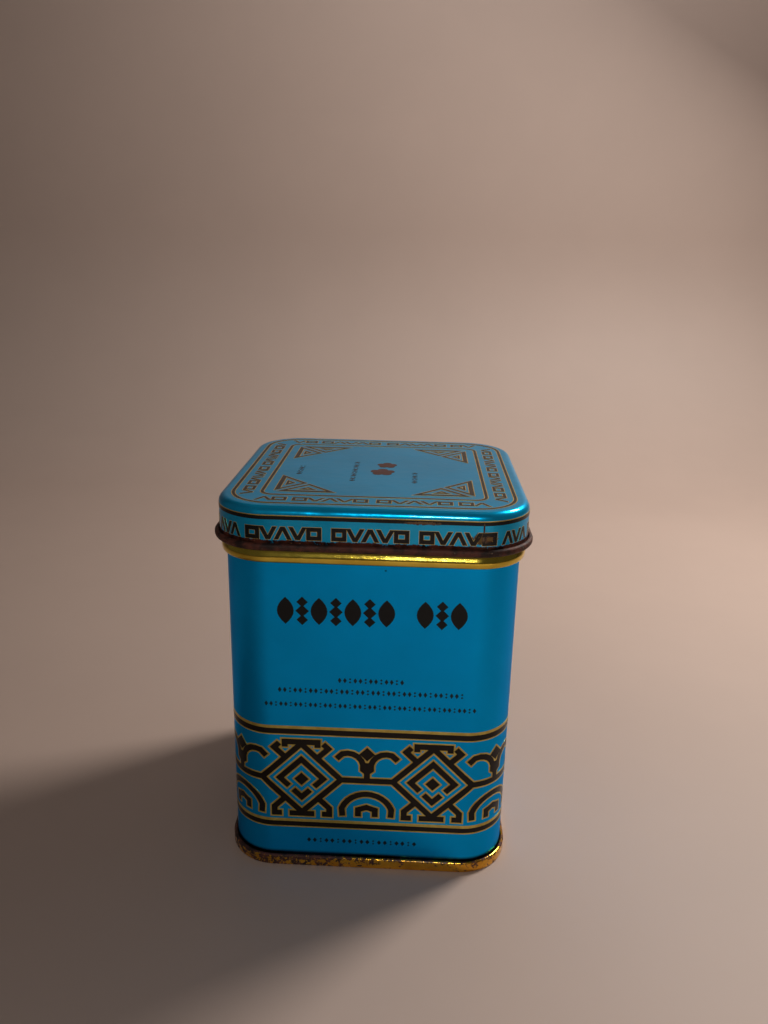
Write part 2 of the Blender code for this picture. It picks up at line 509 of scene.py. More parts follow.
def frieze(extra):
    """The frieze's strokes all round the tin, each wider by extra on every side."""
    period = quarter_length(0.0) / 2.0
    limit = 4.0 * period - SEAM_STRIP
    width = FRIEZE_STROKE + 2.0 * extra
    grown = extra * math.sqrt(2.0)
    polygons = []
    for cell in range(-8, 9):
        narrow = cell % 2 == 0
        x = cell * period / 2.0
        for line in narrow_cell() if narrow else wide_cell(period / 2.0 - CROSSING):
            polygons += stroke(moved(line, x, FRIEZE_MIDDLE), width, extra)
        size, up = NARROW_LOZENGE if narrow else WIDE_LOZENGE
        polygons.append(lozenge(x, FRIEZE_MIDDLE + up, size + grown, size + grown))
    return cut_all(polygons, limit)


# The frets: rows of hollow squares and slanting arms.
FRET = ("square", "valley", "peak", "valley", "square")
CORNER_FRET = ("peak", "valley", "peak")
CORNER_SQUEEZE = 0.78
FRET_WIDTHS = {"square": 3.7, "valley": 4.5, "peak": 4.4}
CHEVRON_OVERLAP = 0.8
SQUARE_OVERLAP = 0.15
ARM_WIDTH = 1.05


def slanted(low, high, width, extra):
    """A slanting arm with level ends: width is measured along x, and extra grows it all round."""
    slope = (high[0] - low[0]) / (high[1] - low[1])
    half = width / 2.0 + extra * math.hypot(1.0, slope)
    bottom = low[0] - slope * extra
    top = high[0] + slope * extra
    return [
        (bottom - half, low[1] - extra),
        (bottom + half, low[1] - extra),
        (top + half, high[1] + extra),
        (top - half, high[1] + extra),
    ]


def fret_group(kinds, height, width, extra):
    """Hollow squares and chevrons in a row, centred on x = 0, each grown all round by extra."""
    edge = width / 2.0
    arm = ARM_WIDTH * width
    polygons = []
    x = 0.0
    for before, kind in zip((None, *kinds), kinds):
        if before is not None:
            x -= SQUARE_OVERLAP if "square" in (before, kind) else CHEVRON_OVERLAP
        right = x + FRET_WIDTHS[kind]
        middle = (x + right) / 2.0
        if kind == "square":
            outline = rectangle(x + edge, edge, right - edge, height - edge)
            polygons += stroke(outline, width + 2.0 * extra, closed=True)
        else:
            for side in (x + arm / 2.0, right - arm / 2.0):
                low, high = (middle, side) if kind == "valley" else (side, middle)
                polygons.append(slanted((low, 0.0), (high, height), arm, extra))
        x = right
    return [moved(polygon, -x / 2.0) for polygon in polygons]


# The skirt's fret and the line above it.
SKIRT_FRET_BOTTOM = 96.3
SKIRT_FRET_HEIGHT = 3.3
SKIRT_FRET_PERIOD = 21.3
SKIRT_FRET_STROKE = 1.05
SKIRT_FRET_MARGIN = 0.1
SKIRT_LINE_BOTTOM = 101.35
SKIRT_LINE_TOP = 102.3
SKIRT_GOLD_TOP = 102.52
SKIRT_CUTS_BOTTOM = 95.0


def skirt_fret(extra):
    """Three groups on each side of the lid and a short one round each corner."""
    quarter = quarter_length(LID_OUT)
    polygons = []
    for side in range(-2, 3):
        for x, kinds, squeeze in [
            (-SKIRT_FRET_PERIOD, FRET, 1.0),
            (0.0, FRET, 1.0),
            (SKIRT_FRET_PERIOD, FRET, 1.0),
            (quarter / 2.0, CORNER_FRET, CORNER_SQUEEZE),
        ]:
            for polygon in fret_group(kinds, SKIRT_FRET_HEIGHT, SKIRT_FRET_STROKE, extra):
                narrowed = [(squeeze * px, py) for px, py in polygon]
                polygons.append(moved(narrowed, x + side * quarter, SKIRT_FRET_BOTTOM))
    return cut_all(polygons, 2.0 * quarter)


# The lid's two border lines, each as half its side and its corner radius, and the fret between them.
BORDERS = ((36.0, 10.3), (28.7, 3.0))
BORDER_STROKE = 0.72
BORDER_MARGIN = 0.215
TOP_FRET_MIDDLE = 32.35
TOP_FRET_HEIGHT = 2.9
TOP_FRET_PERIOD = 21.0
TOP_FRET_STROKE = 0.75
TOP_FRET_MARGIN = 0.16
TOP_FRET_END = 4.4


def top_fret(extra):
    """The fret between the lid's two border lines, on all four sides."""
    bottom = -TOP_FRET_MIDDLE - TOP_FRET_HEIGHT / 2.0
    polygons = []
    for side in range(4):
        for x, kinds in [
            (-TOP_FRET_PERIOD / 2.0, FRET),
            (TOP_FRET_PERIOD / 2.0, FRET),
            (-TOP_FRET_PERIOD - TOP_FRET_END, ("peak", "square")),
            (TOP_FRET_PERIOD + TOP_FRET_END, ("square", "peak")),
        ]:
            for polygon in fret_group(kinds, TOP_FRET_HEIGHT, TOP_FRET_STROKE, extra):
                polygons.append(moved(moved(polygon, x, bottom), turn=90 * side))
    return polygons


def top_borders(extra):
    polygons = []
    for half, radius in BORDERS:
        polygons += stroke(rounded_square(half, radius), BORDER_STROKE + 2.0 * extra, closed=True)
    return polygons


# The triangles in the lid's corners: an outer one, an inner one, and a heavy line along the base. Each
# is given as (points, line width, closed).
TRIANGLE_LINES = (
    ([(25.4, -24.0), (25.4, -10.8), (18.8, -17.4)], 0.7, True),
    ([(23.4, -19.0), (23.4, -15.8), (21.8, -17.4)], 0.55, True),
    ([(25.15, -23.4), (25.15, -11.4)], 1.1, False),
)
TRIANGLE_MARGIN = 0.2


def corner_triangles(extra):
    """A pair of nested triangles in each corner of the lid's panel, with a gap between them."""
    polygons = []
    for side in range(4):
        for points, width, closed in TRIANGLE_LINES:
            for half in (points, [(-y, -x) for x, y in points]):
                placed = moved(half, turn=90 * side)
                polygons += stroke(placed, width + 2.0 * extra, closed=closed)
    return polygons


# Blossoms on the lid as (x, y, radius), and columns of marks beside them as (x, bottom, top).
PETALS = 5
BLOSSOMS = ((1.2, -3.4, 3.6), (2.2, 4.4, 3.0))
MARK_COLUMNS = ((-6.6, -14.0, 7.6), (10.3, -14.5, -3.0), (-21.8, -8.5, 1.5))
COLUMN_PITCH = 1.7
COLUMN_WIDTH = 1.6

# Groups of ornaments on the front as (left, right, count, middle, height), and rows of marks as
# (left, right, pitch, middle, height).
ORNAMENTS = ((-23.4, 6.5, 7, 76.8, 7.4), (11.9, 24.7, 3, 76.8, 7.4))
MARK_ROWS = (
    (-8.1, 9.4, 1.35, 57.6, 1.6),
    (-23.8, 25.0, 1.35, 54.3, 1.6),
    (-27.4, 28.4, 1.3, 50.1, 1.5),
    (-16.6, 14.1, 1.6, 7.9, 1.5),
)


def blossom(x, y, radius):
    """A round-petalled flower."""
    polygons = []
    for petal in range(PETALS):
        angle = math.radians(90.0 + 360.0 * petal / PETALS)
        centre = (x + 0.56 * radius * math.cos(angle), y + 0.56 * radius * math.sin(angle))
        polygons.append(disc(*centre, 0.42 * radius, 16))
    polygons.append(disc(x, y, 0.34 * radius, 8))
    return polygons


def leaf(x, y, half_width, half_height, steps=8):
    """A pointed upright leaf."""
    points = []
    for side in (1, -1):
        for step in range(steps):
            share = side * (2.0 * step / steps - 1.0)
            points.append((x + side * half_width * (1.0 - share * share), y + half_height * share))
    return points


def row_of_ornaments(left, right, count, middle, height):
    """Bold leaves, with stacked lozenges between them."""
    polygons = []
    pitch = (right - left) / count
    for index in range(count):
        x = left + pitch * (index + 0.5)
        if index % 2 == 0:
            polygons.append(leaf(x, middle, 0.5 * pitch, height / 2.0))
        else:
            for step in (-1, 0, 1):
                size = 0.4 * pitch if step == 0 else 0.34 * pitch
                polygons.append(lozenge(x, middle + step * 0.33 * height, size, size))
    return polygons


def row_of_marks(left, right, pitch, middle, height):
    """A line of small lozenges and dots."""
    polygons = []
    count = round((right - left) / pitch)
    for index in range(count):
        x = left + (right - left) * (index + 0.5) / count
        if index % 3 == 2:
            for step in (-1, 1):
                polygons.append(lozenge(x, middle + step * 0.28 * height, 0.2 * height, 0.2 * height))
        else:
            polygons.append(lozenge(x, middle, 0.36 * pitch, height / 2.0))
    return polygons


# ---- Materials ----

def linear(red, green, blue):
    """An sRGB colour, 0 to 255, as the shader's linear values."""
    values = []
    for channel in (red, green, blue):
        share = channel / 255.0
        values.append(share / 12.92 if share <= 0.04045 else ((share + 0.055) / 1.055) ** 2.4)
    return (*values, 1.0)


def feed(tree, node, values):
    """Gives the node's inputs their values: a number or a tuple is set, and a socket is linked."""
    for name, value in values.items():
        if isinstance(value, (int, float, tuple)):
            node.inputs[name].default_value = value
        else:
            tree.links.new(value, node.inputs[name])


def computed(tree, kind, operation, values):
    """The outputs of a new math node of that kind, whose inputs take the values in turn."""
    node = tree.nodes.new(kind)
    node.operation = operation
    feed(tree, node, dict(enumerate(values)))
    return node.outputs


def math_node(tree, operation, *values):
    return computed(tree, "ShaderNodeMath", operation, values)[0]


def vector_math(tree, operation, *values):
    return computed(tree, "ShaderNodeVectorMath", operation, values)


def new_material(name):
    """A material, its node tree, its shader, and the piece's own coordinates in millimetres."""
    material = bpy.data.materials.new(name)
    material.use_nodes = True
    tree = material.node_tree
    metres = tree.nodes.new("ShaderNodeTexCoord").outputs["Object"]
    place = vector_math(tree, "MULTIPLY", metres, (1.0 / MM, 1.0 / MM, 1.0 / MM))[0]
    return material, tree, tree.nodes["Principled BSDF"], place


def noise(tree, place, size, detail=2.0, roughness=0.5):
    """Noise from 0 to 1 whose lumps are about size millimetres across."""
    node = tree.nodes.new("ShaderNodeTexNoise")
    feed(tree, node, {"Vector": place, "Scale": 1.0 / size, "Detail": detail, "Roughness": roughness})
    return node.outputs["Fac"]


def smooth(tree, value, low, high):
    """0 below low, 1 above high and a smooth step between them. low may be above high."""
    node = tree.nodes.new("ShaderNodeMapRange")
    node.interpolation_type = "SMOOTHSTEP"
    feed(tree, node, {"Value": value, "From Min": min(low, high), "From Max": max(low, high)})
    if low > high:
        feed(tree, node, {"To Min": 1.0, "To Max": 0.0})
    return node.outputs["Result"]


def between(tree, factor, low, high):
    """A number that runs from low to high as the factor runs from 0 to 1."""
    node = tree.nodes.new("ShaderNodeMapRange")
    feed(tree, node, {"Value": factor, "To Min": low, "To Max": high})
    return node.outputs["Result"]


# The Mix node has an input and an output of the same name for each data type, so its colour ones are
# found by number.
COLOUR_A = 6
COLOUR_B = 7
COLOUR_RESULT = 2


def blend(tree, factor, first, second):
    """A colour between two colours, each an RGBA value or a socket."""
    node = tree.nodes.new("ShaderNodeMix")
    node.data_type = "RGBA"
    feed(tree, node, {"Factor": factor, COLOUR_A: first, COLOUR_B: second})
    return node.outputs[COLOUR_RESULT]


def bump(tree, shader, heights):
    """Bumps in the shader's normal, given as (height socket, depth in millimetres)."""
    before = None
    for height, depth in heights:
        node = tree.nodes.new("ShaderNodeBump")
        feed(tree, node, {"Height": height, "Distance": depth * MM})
        if before is not None:
            tree.links.new(before, node.inputs["Normal"])
        before = node.outputs["Normal"]
    tree.links.new(before, shader.inputs["Normal"])


def patch(tree, place, centre, reach):
    """1 at the centre, falling to 0 at the surface of an ellipsoid with those half-lengths."""
    away = vector_math(tree, "SUBTRACT", place, centre)[0]
    share = vector_math(tree, "LENGTH", vector_math(tree, "DIVIDE", away, reach)[0])["Value"]
    return smooth(tree, share, 1.0, 0.0)


def along(tree, place, axis):
    """The position along one axis, in millimetres."""
    split = tree.nodes.new("ShaderNodeSeparateXYZ")
    tree.links.new(place, split.inputs[0])
    return split.outputs[axis]


def sheet_waves(tree, place):
    """The faint waviness of the sheet, as a height and its depth in millimetres."""
    return noise(tree, place, 26.0, 1.0), 0.3


CRYSTALS_PER_MM = 0.35
EDGE_TINT = linear(120, 190, 220)
SPECK = linear(6, 24, 34)
RUST_DARK = linear(30, 12, 6)
RUST = linear(88, 44, 32)
RUST_LIGHT = linear(150, 112, 84)
BARE_TIN = linear(170, 160, 140)
SPANGLE_LIGHT = linear(184, 178, 166)
SPANGLE_DARK = linear(150, 146, 138)
GOLD_LIGHT = linear(222, 198, 104)
GOLD_DARK = linear(190, 164, 76)
TARNISH = linear(120, 96, 58)
# Dark brown for the painted shade and grime along the base seam, and for the chip in the print.
WORN_INK = linear(120, 100, 70)
GRIME_AND_SHADE = linear(20, 13, 7)

# Worn places on the lid as (centre, half-lengths), and the heights above the bottom of the rolled
# edge between which the rust on it fades out.
SCRAPE = ((12.5, -39.8, 101.6), (11.5, 3.0, 0.95))
SCRATCH = ((27.4, -39.8, 100.6), (0.4, 3.0, 2.6))
RUBBED_FRET = ((28.0, -39.6, 98.0), (6.4, 3.0, 3.0))
EDGE_RUST_FULL = 2.1
EDGE_RUST_TOP = 3.3

# A chip in the wall's print, and the heights between which the wall darkens into the base seam: painted
# shade with some grime.
CHIP = ((3.9, -38.0, 88.4), (0.45, 2.0, 0.4))
SEAM_SHADE_TOP = 4.6
SEAM_SHADE_FULL = 3.4


def lid_wear(tree, place, rubbing):
    """How worn the lid's print is, 0 to 1, in the scraped places and along the rolled edge.

    rubbing is how strongly the rubbed place on the fret shows.
    """
    fine = noise(tree, place, 0.8, 5.0, 0.72)
    broad = noise(tree, place, 6.0, 3.0, 0.6)
    worn = None
    for (centre, reach), push in ((SCRAPE, 0.85), (SCRATCH, 1.3), (RUBBED_FRET, rubbing)):
        spot = math_node(tree, "MULTIPLY", patch(tree, place, centre, reach), push)
        worn = spot if worn is None else math_node(tree, "MAXIMUM", worn, spot)
    up = along(tree, place, "Z")
    edge = smooth(tree, up, LID_EDGE_BOTTOM + EDGE_RUST_TOP, LID_EDGE_BOTTOM + EDGE_RUST_FULL)
    edge = math_node(tree, "MULTIPLY", edge, between(tree, broad, 0.45, 1.3))
    worn = math_node(tree, "MAXIMUM", worn, edge)
    worn = math_node(tree, "ADD", worn, between(tree, fine, -0.7, 0.7))
    return smooth(tree, worn, 0.42, 0.62)


def rust_colour(tree, place):
    """Dark and brown rust with light flecks."""
    fine = noise(tree, place, 0.55, 5.0, 0.7)
    broad = noise(tree, place, 3.0, 4.0, 0.6)
    colour = blend(tree, smooth(tree, broad, 0.35, 0.65), RUST_DARK, RUST)
    return blend(tree, smooth(tree, fine, 0.62, 0.72), colour, RUST_LIGHT)


def enamel(name, light, dark, metallic, coat, on_lid=False):
    """Glossy printed lacquer over tinplate, with sheet waviness, a few specks and, on the lid, rust; on
    the wall, a dark chip and painted shade with grime above the base seam.
    """
    material, tree, shader, place = new_material(name)
    cloud = noise(tree, place, 22.0, 3.0, 0.55)
    colour = blend(tree, smooth(tree, cloud, 0.3, 0.7), dark, light)
    speck = smooth(tree, noise(tree, place, 2.6, 1.0, 0.5), 0.84, 0.86)
    colour = blend(tree, math_node(tree, "MULTIPLY", speck, 0.5), colour, SPECK)
    rough = between(tree, noise(tree, place, 9.0, 2.0, 0.5), 0.28, 0.32)
    heights = [sheet_waves(tree, place)]
    if on_lid:
        worn = lid_wear(tree, place, 1.1)
        kept = math_node(tree, "SUBTRACT", 1.0, worn)
        rubbed = patch(tree, place, *RUBBED_FRET)
        colour = blend(tree, worn, colour, blend(tree, rubbed, rust_colour(tree, place), TARNISH))
        rough = math_node(tree, "ADD", rough, math_node(tree, "MULTIPLY", worn, 0.45))
        metallic = math_node(tree, "MULTIPLY", kept, metallic)
        coat = math_node(tree, "MULTIPLY", kept, coat)
        heights.append((math_node(tree, "MULTIPLY", worn, noise(tree, place, 0.5, 4.0, 0.7)), 0.14))
        heights.append((noise(tree, place, 5.0, 3.0, 0.6), 0.1))
    else:
        # Painted shade with grime: the wall darkens towards the base seam. The chip in the print takes
        # the same dark brown.
        shade_grime_and_chip = smooth(tree, along(tree, place, "Z"), SEAM_SHADE_TOP, SEAM_SHADE_FULL)
        shade_grime_and_chip = math_node(tree, "MULTIPLY", shade_grime_and_chip, between(tree, cloud, 0.6, 1.4))
        shade_grime_and_chip = math_node(tree, "MAXIMUM", shade_grime_and_chip, patch(tree, place, *CHIP))
        colour = blend(tree, shade_grime_and_chip, colour, GRIME_AND_SHADE)
    feed(tree, shader, {
        "Base Color": colour,
        "Roughness": rough,
        "Metallic": metallic,
        "Specular IOR Level": 0.1,
        "Specular Tint": EDGE_TINT,
        "Coat Weight": coat,
        "Coat Roughness": 0.06,
    })
    bump(tree, shader, heights)
    return material


def rusty_tin(name):
    """A rolled edge rusted all over, with light flecks and a few bright spots of bare tin."""
    material, tree, shader, place = new_material(name)
    bright = smooth(tree, noise(tree, place, 2.4, 4.0, 0.65), 0.66, 0.76)
    colour = blend(tree, bright, rust_colour(tree, place), BARE_TIN)
    feed(tree, shader, {
        "Base Color": colour,
        "Metallic": between(tree, bright, 0.0, 0.8),
        "Roughness": between(tree, noise(tree, place, 1.2, 3.0), 0.45, 0.75),
        "Specular IOR Level": 0.35,
    })
    bump(tree, shader, [(noise(tree, place, 2.4, 2.0), 0.12), (noise(tree, place, 0.5, 4.0, 0.7), 0.08)])
    return material


def ink(name, colour, on_lid=False):
    """Printing ink under the same clear lacquer, worn where the lid is."""
    material, tree, shader, place = new_material(name)
    cloud = noise(tree, place, 5.0, 3.0, 0.6)
    soft = tuple(0.6 * channel for channel in colour[:3]) + (1.0,)
    shade = blend(tree, smooth(tree, cloud, 0.3, 0.7), colour, soft)
    if on_lid:
        worn = lid_wear(tree, place, 0.5)
        worn_shade = blend(tree, noise(tree, place, 1.4, 3.0), WORN_INK, rust_colour(tree, place))
        shade = blend(tree, worn, shade, worn_shade)
    feed(tree, shader, {
        "Base Color": shade,
        "Roughness": between(tree, noise(tree, place, 3.0, 4.0, 0.6), 0.25, 0.4),
        "Specular IOR Level": 0.12,
        "Coat Weight": 0.25,
        "Coat Roughness": 0.12,
    })
    bump(tree, shader, [sheet_waves(tree, place)])
    return material


def gold_ink(name, on_lid=False):
    """Gold printing ink under the same clear lacquer, rusted where the lid is worn."""
    material, tree, shader, place = new_material(name)
    cloud = noise(tree, place, 4.0, 4.0, 0.6)
    colour = blend(tree, smooth(tree, cloud, 0.3, 0.7), GOLD_DARK, GOLD_LIGHT)
    if on_lid:
        colour = blend(tree, lid_wear(tree, place, 0.8), colour, rust_colour(tree, place))
    feed(tree, shader, {
        "Base Color": colour,
        "Metallic": 0.85,
        "Roughness": between(tree, cloud, 0.3, 0.46),
        "Coat Weight": 0.25,
        "Coat Roughness": 0.12,
    })
    bump(tree, shader, [sheet_waves(tree, place)])
    return material


def lacquered_tin(name, light, dark, tarnish, stained_and_shaded=()):
    """Gold lacquer over bare tinplate, with tarnish and dark specks.

    Each entry of the last argument is an axis, the places along it where extra staining and painted
    shade start and are complete, and its strength.
    """
    material, tree, shader, place = new_material(name)
    broad = noise(tree, place, 9.0, 4.0, 0.6)
    colour = blend(tree, smooth(tree, broad, 0.3, 0.72), dark, light)
    specks = noise(tree, place, 1.3, 5.0, 0.72)
    stain_and_shade = specks
    # Painted shade: on the base these extra entries darken the rim towards its left side and, with
    # tarnish, towards its top edge at the seam.
    for axis, start, end, strength in stained_and_shaded:
        more = smooth(tree, along(tree, place, axis), start, end)
        stain_and_shade = math_node(tree, "ADD", stain_and_shade, math_node(tree, "MULTIPLY", more, strength))
    stain_and_shade = smooth(tree, stain_and_shade, 0.78 - 0.2 * tarnish, 0.84 - 0.2 * tarnish)
    colour = blend(tree, stain_and_shade, colour, rust_colour(tree, place))
    rough = between(tree, noise(tree, place, 2.2, 4.0, 0.6), 0.1, 0.22)
    feed(tree, shader, {
        "Base Color": colour,
        "Roughness": math_node(tree, "ADD", rough, math_node(tree, "MULTIPLY", stain_and_shade, 0.5)),
        "Metallic": between(tree, stain_and_shade, 1.0, 0.25),
        "Coat Weight": 0.3,
        "Coat Roughness": 0.15,
    })
    bump(tree, shader, [(noise(tree, place, 12.0, 2.0), 0.12), (specks, 0.03)])
    return material


def bare_tinplate(name):
    """Unlacquered tinplate with its crystal spangle and light rust freckles."""
    material, tree, shader, place = new_material(name)
    crystals = tree.nodes.new("ShaderNodeTexVoronoi")
    feed(tree, crystals, {"Vector": place, "Scale": CRYSTALS_PER_MM})
    grain = crystals.outputs["Distance"]
    colour = blend(tree, grain, SPANGLE_LIGHT, SPANGLE_DARK)
    freckle = smooth(tree, noise(tree, place, 1.2, 4.0, 0.7), 0.66, 0.74)
    colour = blend(tree, freckle, colour, RUST)
    rough = between(tree, grain, 0.24, 0.4)
    feed(tree, shader, {"Base Color": colour, "Metallic": 1.0, "Roughness": rough})
    bump(tree, shader, [(noise(tree, place, 14.0, 2.0), 0.12)])
    return material


def matt_paper(name, colour):
    """The stage's matt paper, with faint broad clouds."""
    material, tree, shader, place = new_material(name)
    cloud = noise(tree, place, 60.0, 4.0, 0.6)
    darker = tuple(0.92 * channel for channel in colour[:3]) + (1.0,)
    feed(tree, shader, {"Base Color": blend(tree, cloud, darker, colour), "Roughness": 0.6})
    return material


# ---- Pieces ----

body_enamel = enamel("body_enamel", linear(0, 172, 252), linear(0, 164, 242), 0.93, 0.05)
lid_enamel = enamel("lid_enamel", linear(0, 176, 232), linear(0, 166, 220), 0.72, 0.5, on_lid=True)
rusty_edge = rusty_tin("rusty_edge")
black_ink = ink("black_ink", linear(3, 9, 11))
brown_ink = ink("brown_ink", linear(22, 13, 5))
lid_black_ink = ink("lid_black_ink", linear(8, 12, 12), on_lid=True)
fine_ink = ink("fine_ink", linear(4, 34, 52))
red_ink = ink("red_ink", linear(64, 16, 20))
faded_ink = ink("faded_ink", linear(18, 44, 58))
body_gold = gold_ink("body_gold")
lid_gold = gold_ink("lid_gold", on_lid=True)
bead_gold = lacquered_tin("bead_gold", linear(232, 206, 84), linear(206, 178, 60), 0.1)
plug_gold = lacquered_tin("plug_gold", linear(232, 200, 108), linear(206, 170, 84), 0.2)
# The base rim is darker towards its left, which is painted shade, and towards its top edge at the seam,
# which is tarnish with painted shade.
base_stains_and_shade = (("X", 15.0, -25.0, 0.12), ("Z", 2.0, BASE_SEAM_HEIGHT, 0.1))
base_gold = lacquered_tin("base_gold", linear(250, 192, 58), linear(214, 152, 42), 1.1, base_stains_and_shade)
tinplate = bare_tinplate("tinplate")


def build_base():
    """Cover hook, seam wall, foot, chuck wall and a panel with one shallow step."""
    hook = FOLD_GAP + HALF
    outside = hook + 2.0 * FOLD
    inside = -SHEET - FOLD_GAP - HALF
    step = -BASE_PANEL_MARGIN - BASE_PANEL_STEP
    corners = [
        (step - MIDDLE_START, BASE_PANEL_HEIGHT - BASE_PANEL_STEP, 0.0),
        (step, BASE_PANEL_HEIGHT - BASE_PANEL_STEP, STEP_BEND),
        (-BASE_PANEL_MARGIN, BASE_PANEL_HEIGHT, STEP_BEND),
        (inside, BASE_PANEL_HEIGHT, BASE_PANEL_BEND),
        (inside, HALF, BASE_FOOT_BEND),
        (outside, HALF, BASE_FOOT_BEND),
        (outside, BASE_SEAM_HEIGHT - HALF, FOLD),
        (hook, BASE_SEAM_HEIGHT - HALF, FOLD),
        (hook, BASE_SEAM_HEIGHT - HALF - HOOK_LENGTH, 0.0),
    ]
    piece = folded("base_shell", corners, False, False, [base_gold, plug_gold])
    finish_piece(piece, "tin", "gold_lacquer", "base_end")


def build_wall():
    """The wall with its hooks, its lock seam and the unprinted strip up the back."""
    middle = -HALF
    hook = 2.0 * FOLD - HALF
    foot = SHEET + FOLD_GAP + HALF
    top = BEAD_BOTTOM + BEAD_HEIGHT - SHEET - FOLD_GAP - HALF
    corners = [
        (hook, foot + HOOK_LENGTH, 0.0),
        (hook, foot, FOLD),
        (middle, foot, FOLD),
        (middle, top, FOLD),
        (hook, top, FOLD),
        (hook, top - HOOK_LENGTH, 0.0),
    ]
    left, right = faces_of_sheet(rounded(corners))
    straight = [point for point in left if abs(point[0] + SHEET) < SAME_POINT]
    lowest = min(straight, key=lambda point: point[1])
    high = BEAD_BOTTOM - SIDE_SEAM_END
    rings = []
    sides = []
    for point in left:
        rings.append(perimeter(*point, back_columns()))
        sides.append(1)
        if point == lowest:
            for up, depth in [
                (SIDE_SEAM_END, 0.0),
                (SIDE_SEAM_END + SIDE_SEAM_SLOPE, SIDE_SEAM_DEPTH),
                (high - SIDE_SEAM_SLOPE, SIDE_SEAM_DEPTH),
                (high, 0.0),
            ]:
                rings.append(perimeter(point[0], up, back_columns(depth)))
                sides.append(1)
    for point in right[::-1]:
        outer_face = abs(point[0]) < SAME_POINT
        rings.append(perimeter(*point, back_columns(groove=GROOVE_DEPTH if outer_face else 0.0)))
        sides.append(0)
    piece = shell("wall_shell", rings, sides, True, [body_enamel, tinplate])
    for face in piece.data.polygons:
        centre = face.center / MM
        if centre.y > 0.0 and abs(centre.x) < SEAM_STRIP:
            face.material_index = 1
    finish_piece(piece, "tin", "wall_enamel", "body_wall")


def build_neck():
    """Hook inside the bead, the crowned bead, the neck, and the lip turned down at the mouth."""
    hook = FOLD_GAP + HALF
    bead = BEAD_OUT - HALF
    bottom = BEAD_BOTTOM + HALF
    top = BEAD_BOTTOM + BEAD_HEIGHT - HALF
    neck = NECK_OUT - HALF
    corners = [
        (hook, bottom + HOOK_LENGTH, 0.0),
        (hook, bottom, HOOK_BEND),
        (bead - BEAD_LOWER_SLOPE, bottom, BEAD_LOWER_BEND),
        (bead, bottom + BEAD_CROWN_HEIGHT, BEAD_CROWN_RADIUS),
        (bead - BEAD_UPPER_SLOPE, top - BEAD_UPPER_HEIGHT, BEAD_UPPER_BEND),
        (neck, top, NECK_FOOT_BEND),
        (neck, LIP - HALF, NECK_SHOULDER),
        (-MOUTH_MARGIN, LIP - HALF, MOUTH_BEND),
        (-MOUTH_MARGIN, LIP - HALF - MOUTH_HEM, 0.0),
    ]
    piece = folded("neck_shell", corners, True, False, [bead_gold, bead_gold])
    finish_piece(piece, "tin", "gold_lacquer", "neck_ring")


def build_inner_lid():
    """A dish: a flange over the lip, a wall that plugs the mouth, and a panel with one step."""
    flange = LIP + FOLD_GAP + HALF
    rim = NECK_OUT - HALF - NECK_SHOULDER
    plug = -MOUTH_MARGIN - HALF - PLUG_CLEARANCE - HALF
    floor = flange - PLUG_DEPTH
    step = plug - PLUG_PANEL_MARGIN
    panel = floor + PLUG_PANEL_STEP
    corners = [
        (step - PLUG_PANEL_STEP - MIDDLE_START, panel, 0.0),
        (step - PLUG_PANEL_STEP, panel, STEP_BEND),
        (step, floor, STEP_BEND),
        (plug, floor, PLUG_FLOOR_BEND),
        (plug, flange, STEP_BEND),
        (rim, flange, 0.0),
    ]
    piece = folded("inner_lid_shell", corners, False, True, [plug_gold, tinplate])
    finish_piece(piece, "inner_lid", "gold_lacquer", "inner_lid")


# How far outside the skirt the rolled edge starts.
ROLL_START = 0.06

# Small dents in the lid's shoulder: place, radius, and the push inwards.
DENTS = (
    (Vector((-26.5, -38.4, 103.2)), 3.2, Vector((0.1, 0.24, -0.08))),
    (Vector((-12.6, -38.8, 103.4)), 2.6, Vector((0.0, 0.24, -0.08))),
    (Vector((36.6, -24.0, 103.3)), 3.0, Vector((-0.24, 0.1, -0.08))),
)


def dented(point):
    """The point, in metres, pushed in by the dents near it."""
    push = Vector()
    for centre, radius, depth in DENTS:
        share = (point / MM - centre).length / radius
        if share < 1.0:
            push += depth * (1.0 - share * share) ** 2
    return point + push * MM


def build_outer_lid():
    """Flat top, rounded shoulder, skirt, and the bottom edge rolled outwards and closed."""
    top = TOP - HALF
    skirt = LID_OUT - HALF
    edge = LID_EDGE_OUT - HALF
    bottom = LID_EDGE_BOTTOM + HALF
    roll = (edge - skirt) / 2.0
    edge_top = LID_EDGE_BOTTOM + LID_EDGE_HEIGHT - HALF
    tuck = skirt + SHEET + 2.0 * FOLD_GAP
    corners = [
        (-LID_SHOULDER - MIDDLE_START, top, 0.0),
        (skirt, top, LID_SHOULDER),
        (skirt, bottom, roll),
        (edge, bottom, roll),
        (edge, edge_top, edge - tuck - LID_TUCK_BEND),
        (tuck, edge_top, LID_TUCK_BEND),
        (tuck, edge_top - LID_EDGE_TUCK, 0.0),
    ]
    piece = folded("lid_shell", corners, False, True, [lid_enamel, tinplate, rusty_edge], dented)
    for face in piece.data.polygons:
        centre = face.center / MM
        across = max(abs(centre.x), abs(centre.y)) - HALF_SIDE
        diagonal = math.hypot(max(abs(centre.x) - FLAT, 0.0), max(abs(centre.y) - FLAT, 0.0))
        out = max(across, diagonal - CORNER_RADIUS)
        if out > LID_OUT + ROLL_START and centre.z < LID_EDGE_BOTTOM + LID_EDGE_HEIGHT:
            face.material_index = 2
    finish_piece(piece, "outer_lid", "lid_enamel", "outer_lid")


